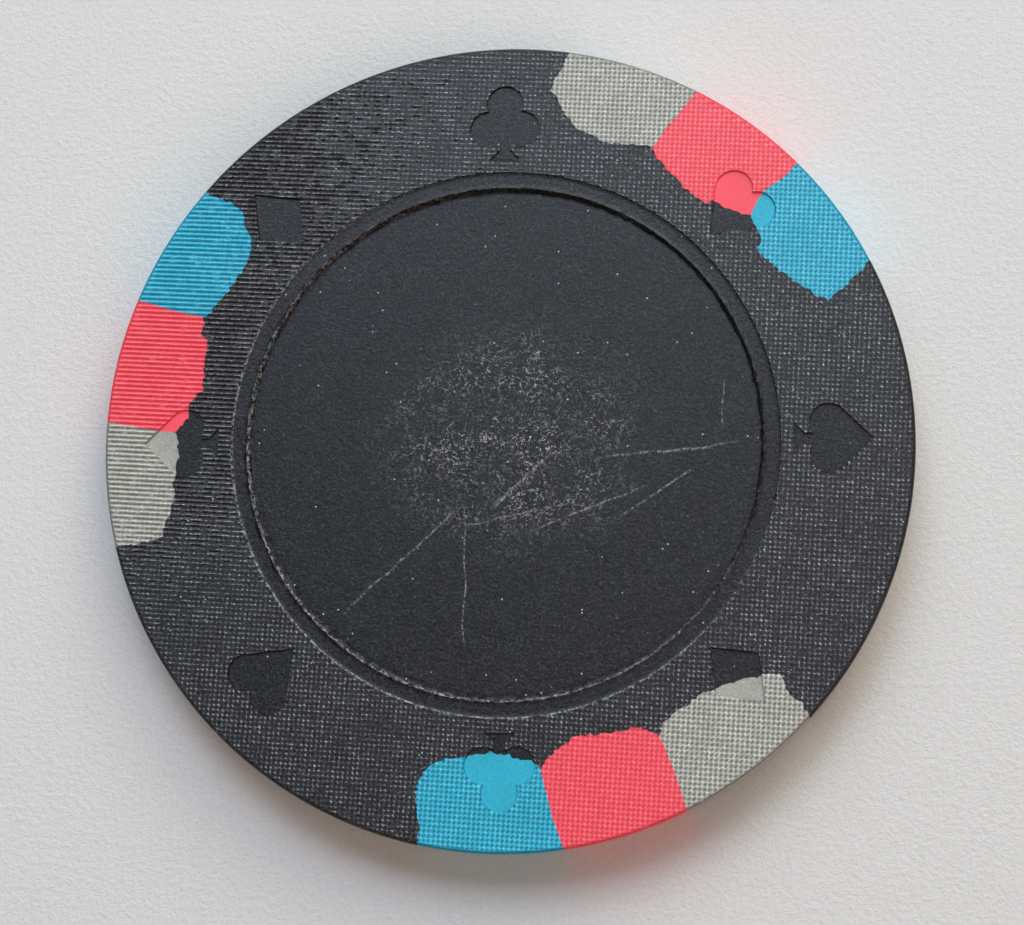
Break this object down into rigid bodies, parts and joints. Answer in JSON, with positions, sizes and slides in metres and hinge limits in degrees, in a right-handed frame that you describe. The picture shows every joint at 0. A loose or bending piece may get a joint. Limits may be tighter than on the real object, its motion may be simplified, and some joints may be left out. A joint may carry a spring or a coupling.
{
  "type": "dealer button",
  "caption": "Round compression-moulded clay dealer button with coloured edge spots, a shallow round recess on each face, a crosshatched outer ring and debossed card suits.",
  "frame": {"origin": "centre of the chip in plan, on the plane of its lower outer ring", "axes": "+Z through the thickness, out of the upper face; +X towards the upper face's first suit mark, between the third and the first group of edge spots"},
  "size_m": [0.039, 0.039, 0.0033],
  "materials": {
    "black_clay": "matte, moulded crosshatch with pale dust specks",
    "blue_clay": "matte, moulded crosshatch",
    "coral_clay": "matte, moulded crosshatch, slightly fluorescent",
    "grey_clay": "matte, moulded crosshatch"
  },
  "bodies": {
    "root": {"chip_body": "black_clay", "blue_spot_1": "blue_clay", "coral_spot_1": "coral_clay", "grey_spot_1": "grey_clay", "blue_spot_2": "blue_clay", "coral_spot_2": "coral_clay", "grey_spot_2": "grey_clay", "blue_spot_3": "blue_clay", "coral_spot_3": "coral_clay", "grey_spot_3": "grey_clay"}
  },
  "joints": []
}
